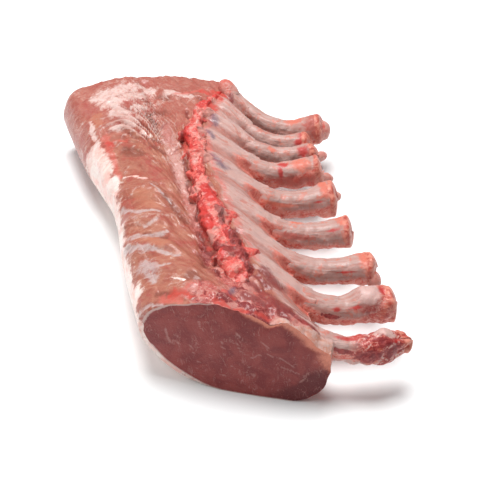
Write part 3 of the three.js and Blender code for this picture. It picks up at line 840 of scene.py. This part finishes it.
def chine_surface(f, a):
    """A flattened strip along the backbone, widened to the right by a knob at each rib's head and narrow
    between them, roughened by torn lumps and ridges, with its cracks sunk. Returns its points and masks."""
    t = mix(CHINE["from"], CHINE["to"], f)
    x0 = along(CHINE["x"], t)
    y0 = cut_y(x0, np.full_like(x0, MEAT_HEIGHT), t)
    knob = np.max([np.exp(-(((y0 - rib["head"][1] + 3) / 6) ** 2)) for rib in RIBS], 0)
    right = ease(-0.2, 0.9, np.cos(a))
    swell = 1 - CHINE["waist"] * (1 - knob) * (0.35 + 0.65 * right)
    ends = np.minimum(1, 0.4 + 7 * np.minimum(f, 1 - f))
    wide, deep = along(CHINE["half"], t) * swell * ends, CHINE["depth"] / 2 * ends
    x0 = x0 + 2.5 * uneven(y0 / 13, 4)
    power = mix(0.85, 1.5, right)
    x = x0 + signed_power(np.cos(a), power) * wide * (1 + 0.3 * right)
    z = along(CHINE["crest"], t) - CHINE["depth"] / 2 + signed_power(np.sin(a), power) * deep
    z = z - 1.8 * uneven(y0 / 9, 8) - 1.5 * (1 - knob) * ease(0, 1, np.sin(a))
    wx, wy = x + 4 * layered(x / 8, y0 / 8, z / 8), y0 + 4 * layered(x / 8, y0 / 8, z / 8 + 9)
    large, kind = lumps(wx / 12, wy / 12, z / 12)
    small, small_kind = lumps(wx / 4, wy / 4, z / 4)
    crag = 1.4 * large + 0.35 * small - 1.2 + 5.8 * np.abs(layered(wx / 12, wy / 8, z / 12)) - 1.7
    crag = crag + 0.9 * layered(x / 3.4, y0 / 3, z / 3.4) - 3 * marked(x, y0)["crack"]
    crag = CHINE["crag"] * np.tanh(crag / CHINE["crag"])
    y = y0 + 1.2 * layered(x / 5, y0 / 5, z / 5 + 4)
    points = np.stack([x + np.cos(a) * crag, y, z + np.sin(a) * crag], -1)
    return points, {
        "lump_kind": mix(kind, small_kind, 0.35),
        # Painted shade in the creases between the lumps.
        "crease_shade": 1 - ease(0.25, 0.6, large) * (0.5 + 0.5 * ease(0.2, 0.55, small)),
        "capped": knob * ease(0.1, 0.7, np.cos(a)) * ease(-10, 30, y0),
    }


def spongy(name):
    """Sawn bone and torn meat: red and pink lumps with pale cartilage in places, and painted shade in the
    cracks, crevices and creases.
    """
    s = Shader(name)
    where = s.place()
    lump = s.noise(where, 4, 5, 0.65, 0.9)
    patch = s.noise(where, 9, 3, 0.6)
    pores = s.noise(where, 1.4, 3, 0.6)
    fine = s.noise(where, 2.4, 4, 0.7, 1)

    def mark(kind, wander=0.5, lo=0.35, hi=0.65):
        return (s.mask(kind) + (lump - 0.5) * wander).ease(lo, hi)

    kind = s.mask("lump_kind") + (patch - 0.5) * 1.4 + (fine - 0.5) * 0.8
    # Colour of the deep marks: dark red, partly dark blood and partly painted shade in crevices.
    pit = s.blend(fine.ease(0.42, 0.58), (112, 34, 36), (166, 70, 68))
    base = s.coats(
        (204, 66, 62),
        (kind.ease(0.1, 0.3), (250, 108, 98)),
        (kind.ease(0.5, 0.7), (250, 156, 144)),
        (fine.ease(0.54, 0.64) * 0.6, (244, 168, 156)),
        (fine.ease(0.44, 0.34) * 0.5, (196, 48, 48)),
        (patch.ease(0.56, 0.68) * 0.6, (232, 176, 166)),
        (lump.ease(0.44, 0.34) * 0.6, (190, 56, 54)),
        (pores.ease(0.56, 0.72) * 0.3, (140, 48, 46)),
        (mark("capped", 1.2, 0.3, 0.9) * 0.85, (240, 176, 164)),
        (mark("red") * 0.85, (226, 56, 50)),
        # Deep marks: partly dark blood, partly painted shade in crevices.
        (mark("deep") * 0.75, pit),
        # Painted shade in the cracks and the creases between the lumps.
        (mark("pit", 0.5, 0.45, 0.8) * 0.7, (138, 36, 34)),
    )
    return s.finish(base, lump * 0.3 + 0.4, lump * 0.4 + fine * 0.4 + pores * 0.2, 1.3, 0.25)


F, A = rounds(np.linspace(0, 1, 420), 96)
chine_rings, chine_masks = chine_surface(F, -A)
marks = marked(chine_rings[..., 0], chine_rings[..., 1])
# Painted shade: the cracks and the creases between the lumps, painted dark.
pit = np.maximum(marks["crack"], 0.45 * chine_masks["crease_shade"])
chine_masks = {**chine_masks, "red": marks["red"], "deep": marks["deep"], "pit": pit}
backbone = closed_mesh("backbone", chine_rings, spongy("sawn_bone"), chine_masks)
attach(backbone, "root")
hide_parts("chine")


# -------- the ribs
# Flat curved bones, bared at their ends by a knife. Their upper face is smooth and pale under its
# membrane; red scraps of the meat that lay between them stay on their sides and undersides.
RIB_TAPER = np.array([0.85, 0.85, 0.93, 0.95, 0.96, 1.13])
RIB_SQUARENESS = 2.3
# Scraps and dents: rib, place along it, turn from its upper face towards the caudal side in degrees,
# size, height. Ribs are counted from 0 here.
SCRAPS = [
    (0, 0.8, 90, 12, 3.5), (0, 0.86, -30, 6, 2), (0, 1.05, 90, 13, -4.5), (0, 1.04, -20, 10, -4.5),
    (1, 0.82, -30, 10, 4.5), (1, 0.68, 10, 6, -1.5), (2, 0.97, 40, 8, 2), (3, 0.99, 60, 8, 3),
    (4, 0.96, -60, 7, 3), (5, 0.85, 30, 14, 2), (8, 0.9, 60, 12, 4),
]
# How far the pale upper face reaches down each rib's caudal side, in degrees, from root to tip.
PALE = [
    (60, 45, 20), (45, 80, 60), (40, 90, 70), (40, 80, 85), (35, 75, 70), (35, 70, 25), (70, 85, 60),
    (80, 90, 70), (85, 85, 60),
]
# Blotches: rib, x, turn, half length along the rib in mm, half width round it in degrees.
BLOTCHES = {
    "red": [
        (7, 71, 10, 5, 40), (7, 66, 50, 4, 25), (6, 65, 35, 5, 45), (5, 47, 5, 4, 20), (5, 44, 45, 2.2, 42),
        (4, 60, 58, 6, 7), (3, 59, 38, 6, 8), (2, 56, 58, 8, 6), (2, 72, 70, 3, 30), (1, 40, 48, 3, 14),
        (1, 52, 44, 6, 10), (1, 70, -10, 3, 25), (1, 74, 35, 3, 25), (0, 36, 0, 9, 16), (0, 64, 40, 3, 20),
        (0, 46, -20, 8, 12),
    ],
    "orange": [
        (6, 45, 15, 4, 20), (5, 58, 15, 9, 40), (4, 34, 62, 16, 14), (4, 66, 0, 4, 70), (3, 38, -15, 6, 14),
        (3, 66, -25, 4, 55), (2, 69, 0, 5, 90), (1, 70, 20, 5, 80), (0, 68, 10, 7, 60), (8, 70, 0, 8, 30),
    ],
    "raw": [
        (8, 33, 0, 8, 120), (8, 82, 40, 10, 60), (5, 52, 85, 18, 30), (3, 34, 58, 12, 22),
        (1, 60, 60, 8, 20),
    ],
    "meat": [
        (0, 46, 82, 10, 26), (0, 58, 42, 6, 24), (0, 62, 85, 6, 30), (0, 33, 70, 8, 14), (1, 36, 80, 7, 11),
    ],
    "white": [
        (0, 28, 40, 8, 26), (0, 57, -12, 7, 26), (0, 36, 125, 14, 26), (0, 62, 10, 4, 26), (1, 62, 0, 9, 50),
    ],
}
# Over which x each ragged rib turns torn, and how much. The others aren't torn.
RAGGED = {0: (34, 46, 1.0), 1: (50, 62, 0.6)}
TIP_ROUND = 4.2  # mm over which a sawn tip is rounded off
HEAD_ROUND = 0.05  # share of a rib's length over which its head is
RADIAN = 57.3  # degrees


def rag(number, x):
    """How torn a rib is at x."""
    lo, hi, most = RAGGED.get(number, (0, 1, 0))
    return most * ease(lo, hi, x)


def half_turn(degrees):
    """The same angle between -180 and 180."""
    return (degrees + 180) % 360 - 180


def rib_surface(number, f, a):
    """A rib from head to tip: rounded square sections square to its line, with scraps and a rough end
    that is rounded off where f goes on from 1 to 2. Returns its points and their turns in degrees."""
    rib = RIBS[number]
    cap, f = np.clip(f - 1, 0, 1), np.minimum(f, 1)
    hx, tx = rib["head"][0], rib["tip"][0] - TIP_ROUND
    wide, deep = rib["half"]

    def middle(x):
        """Under the rib's line by half its depth, and a little more up towards its head."""
        y, z = rib_line(rib, x)
        return np.stack([x, y, z - deep - 3 * (1 - ease(rib["bend"] - 26, rib["bend"] - 3, x))], -1)

    x = mix(hx, tx, f)
    tangent = middle(x + 0.5) - middle(x - 0.5)
    tangent /= np.linalg.norm(tangent, axis=-1, keepdims=True)
    side = np.cross([0, 0, 1.0], tangent)
    side /= np.linalg.norm(side, axis=-1, keepdims=True)
    up = np.cross(tangent, side)
    seed = 10.0 * number
    root = 0.62 + 0.38 * ease(rib["bend"] - 24, rib["bend"] - 4, x)
    size = along(RIB_TAPER, f) * root * (1 + 0.07 * layered(x / 13 + seed, 0.5))
    turned = half_turn(90 - np.degrees(a))
    out = 0.0
    for _, at, turn, reach, height in (s for s in SCRAPS if s[0] == number):
        apart = half_turn(turned + turn) / RADIAN * wide
        out = out + height * np.exp(-(((f - at) * (tx - hx)) ** 2 + apart**2) / reach**2)
    low = ease(40, 100, np.abs(turned))
    tip = ease(0.86, 1.0, f)
    ragged = rag(number, x)
    round_x, round_y = 7 * np.cos(a), 7 * np.sin(a)
    rough = 1.8 * (lumps(x / 6 + seed, round_x / 6, round_y / 6)[0] - 0.6)
    rough = 1.5 * layered(x / 7 + seed, round_x / 7, round_y / 7) + rough
    out = out + (mix(0.35, 1.0, np.maximum(low, tip)) + 0.6 * ragged) * rough
    rounding = np.sqrt(1 - 0.999 * cap**2) * np.sqrt(1.02 - (1 - np.minimum(f / HEAD_ROUND, 1)) ** 2)
    size, out = size * rounding, out * rounding

    across = signed_power(np.cos(a), 2 / RIB_SQUARENESS) * wide * size + np.cos(a) * out
    over = signed_power(np.sin(a), 2 / RIB_SQUARENESS) * deep * size + np.sin(a) * out
    end = TIP_ROUND * cap * (0.8 + 0.4 * layered(round_x / 6 + seed, round_y / 6))
    end = end + 1.5 * tip * layered(a, seed)
    points = middle(x) + side * across[..., None] + up * over[..., None] + tangent * end[..., None]
    return points, turned


def bone(name):
    """Bared rib: pale bone above, red meat where its mask says, orange and red at the sawn end."""
    s = Shader(name)
    where, flow = s.place(), s.vector("flow")
    streak = s.noise(flow, (16, 2.2, 2), 4, 0.6, 0.4)
    lump = s.noise(where, 3.6, 4, 0.6, 0.6)
    patch = s.noise(where, 8, 3, 0.6)
    flaky = s.noise(where, (4.4, 2.8, 2.8), 5, 0.66, 1.4)

    def mark(kind, wander=1.0, lo=0.25, hi=0.9):
        return (s.mask(kind) + (lump - 0.5) * wander + (patch - 0.5) * wander * 0.5).ease(lo, hi)

    top = s.coats(
        (208, 150, 139),
        (streak.ease(0.3, 0.7), (217, 184, 176)),
        ((lump * 0.5 + patch * 0.5).ease(0.53, 0.6) * 0.6, (232, 130, 110)),
    )
    raw = s.coats(
        (226, 102, 88, 1.2),
        (lump.ease(0.35, 0.6), (250, 164, 148, 1.2)),
        (flaky.ease(0.54, 0.62) * 0.7, (250, 198, 186, 1.2)),
        (flaky.ease(0.42, 0.34) * 0.5, (184, 66, 58)),
    )
    shreds = s.coats(
        (168, 54, 54),
        (flaky.ease(0.44, 0.48), (214, 92, 80)),
        (flaky.ease(0.52, 0.56), (236, 182, 172)),
        (patch.ease(0.54, 0.6) * 0.6, (230, 116, 88)),
    )
    scrap = s.blend(flaky.ease(0.4, 0.6), (146, 40, 44), (188, 70, 68))
    end = s.blend(lump.ease(0.35, 0.6), (200, 84, 70, 1.25), (234, 150, 130, 1.25))
    base = s.coats(
        raw,
        (mark("pale", 0.9, 0.2, 0.85), top),
        (mark("orange") * 0.8, (232, 120, 96, 1.25)),
        (mark("raw") * 0.8, (206, 100, 88)),
        (s.mask("ragged"), shreds),
        (mark("white", 1.2, 0.3, 0.7) * 0.85, (236, 196, 188)),
        (mark("meat", 1.2, 0.35, 0.6) * 0.9, scrap),
        (mark("red") * 0.85, (212, 48, 46)),
        (mark("tip", 0.8, 0.4, 0.8), end),
    )
    return s.finish(base, lump * 0.3 + 0.36, lump * 0.6 + streak * 0.4, 1.2, 0.2)


bone_look = bone("bone")
stretch = np.concatenate([np.linspace(0, 1, 150), 1 + np.sin(np.linspace(0.1, np.pi / 2, 12))])
F, A = rounds(stretch, 72)
for number, rib in enumerate(RIBS):
    rings, turned = rib_surface(number, F, A)
    x = rings[..., 0]
    reach = along(np.array(PALE[number], float), np.clip((F - 0.35) / 0.65, 0, 1))
    masks = {"pale": ease(-38, 14, turned + reach) * (1 - ease(100, 130, turned)), "tip": ease(0.93, 1, F)}
    masks["ragged"] = rag(number, x)
    for kind, spots in BLOTCHES.items():
        masks[kind] = np.zeros_like(F)
        for _, at, turn, length, width in (row for row in spots if row[0] == number):
            spot = bell(x, half_turn(turned + turn), (at, 0), (length, width))
            masks[kind] = np.maximum(masks[kind], spot)
    flow = np.stack([x, A * rib["half"][0], np.zeros_like(A)], -1)
    piece = closed_mesh(f"bone_{number + 1}", rings, bone_look, {**masks, "flow": flow})
    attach(piece, "root")
    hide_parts(f"rib_{number + 1}")


# -------- the shreds
# Small ends of the meat between the ribs that the knife left hanging at some of the sawn tips, and the
# round head of the last rib, which stands up out of the meat where it met the backbone.

# Shreds: rib, a place inside its tip, the shred's own end, half size. Ribs are counted from 1 here.
SHREDS = [
    (3, (69, -49, 36), (73.5, -53, 29.5), 5),
    (5, (72, 31, 31), (78, 37, 28), 3.3),
    (6, (71, 62, 27), (80, 63, 23), 3.8),
    (7, (73, 78, 30), (82.5, 84, 27), 3.6),
    (9, (81, 107, 33), (88.5, 110.5, 29), 8),
]
RIB_HEAD = ((35.5, 139, 42), (29.7, 148.5, 51), 6.6)


def shred_surface(start, end, half, f, a):
    """A lump from start to end: a circle carried along the line between them, thin inside the bone and
    rounded off at its end, and roughened by noise."""
    start, end = np.array(start, float), np.array(end, float)
    way = (end - start) / np.linalg.norm(end - start)
    side = np.cross([0, 0, 1.0], way)
    side /= np.linalg.norm(side)
    up = np.cross(way, side)
    radius = half * np.sqrt(np.clip(1 - (2 * f - 1) ** 2, 0.001, 1)) * (0.75 + 0.4 * f)
    radius = radius * (1 + 0.14 * layered(2.2 * np.cos(a) + start[0], 2.2 * np.sin(a), 3 * f))
    ring = side * np.cos(a)[..., None] + up * np.sin(a)[..., None]
    return start + (end - start) * f[..., None] + half * way * f[..., None] ** 2 + ring * radius[..., None]


F, A = rounds(0.5 - 0.5 * np.cos(np.linspace(0.08, np.pi - 0.08, 40)), 40)
for number, start, end, half in SHREDS:
    rings = shred_surface(start, end, half, F, A)
    piece = closed_mesh(f"shred_{number}", rings, bone_look, {"pale": 0.5 + 0 * F, "flow": rings})
    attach(piece, "root")

rings = shred_surface(*RIB_HEAD, F, A)
masks = {"pale": 0.9 - 0.5 * F, "orange": 0.4 * F, "raw": 0.7 * F}
rib_head = closed_mesh("rib_head", rings, bone_look, {**masks, "flow": rings})
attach(rib_head, "root")


# -------- the studio
# A white table that fades into a white room, a broad soft light above and behind, and a camera that
# looks down on the near cut face from its left.
AIM = np.array([0, 0, 36.0]) - MIDDLE
DISTANCE, HEIGHT_ANGLE, SIDE_ANGLE = 1000, np.radians(40), np.radians(-15)
PIXELS_PER_MM, FRAME, SENSOR = 1.55, 480, 36


def look(obj, place, target):
    """Puts a lamp or the camera at a place in millimetres, facing the target."""
    back = (place - target) / np.linalg.norm(place - target)
    right = np.cross([0, 0, 1.0], back)
    right /= np.linalg.norm(right)
    up = np.cross(back, right)
    matrix = np.eye(4)
    matrix[:3, :3] = np.stack([right, up, back], 1)
    matrix[:3, 3] = place * MM
    obj.matrix_world = Matrix(matrix)
    scene.collection.objects.link(obj)


camera = bpy.data.objects.new("camera", bpy.data.cameras.new("camera"))
camera.data.lens = PIXELS_PER_MM * DISTANCE / FRAME * SENSOR
camera.data.sensor_width = SENSOR
camera.data.clip_end = 20
level, side = np.cos(HEIGHT_ANGLE), np.array([np.sin(SIDE_ANGLE), -np.cos(SIDE_ANGLE), 0])
look(camera, AIM + DISTANCE * (level * side + np.array([0, 0, np.sin(HEIGHT_ANGLE)])), AIM)
scene.camera = camera


def lamp(name, place, size, power):
    """A round lamp that shines on the rack from a place in millimetres, its power in watts."""
    light = bpy.data.lights.new(name, "AREA")
    light.shape, light.size, light.energy = "DISK", size * MM, power
    look(bpy.data.objects.new(name, light), np.array(place, float), np.array([0, 0, 20.0]))


lamp("window", (20, 330, 1480), 900, 28.5)
lamp("fill", (-900, -200, 1000), 700, 5)

world = bpy.data.worlds.new("room")
world.use_nodes = True
room = world.node_tree.nodes["Background"].inputs
room["Color"].default_value = (1, 1, 1, 1)
room["Strength"].default_value = 0.22
scene.world = world
scene.view_settings.view_transform = "Standard"

table_mesh = bpy.data.meshes.new("table")
reach = 6.0
corners = [(-reach, -reach, 0), (reach, -reach, 0), (reach, reach, 0), (-reach, reach, 0)]
table_mesh.from_pydata(corners, [], [(0, 1, 2, 3)])
table = bpy.data.objects.new("table", table_mesh)
scene.collection.objects.link(table)
paper = Shader("white_table")
paper_colour = paper.blend(paper.noise(paper.place(), 400), (246, 249, 250, 1), (251, 253, 253, 1))
sockets = {"Base Color": paper_colour, "Roughness": 0.9, "Specular IOR Level": 0.1}
surface = paper.node("BsdfPrincipled", None, sockets)
paper.node("OutputMaterial", None, {"Surface": surface})
table.data.materials.append(paper.material)
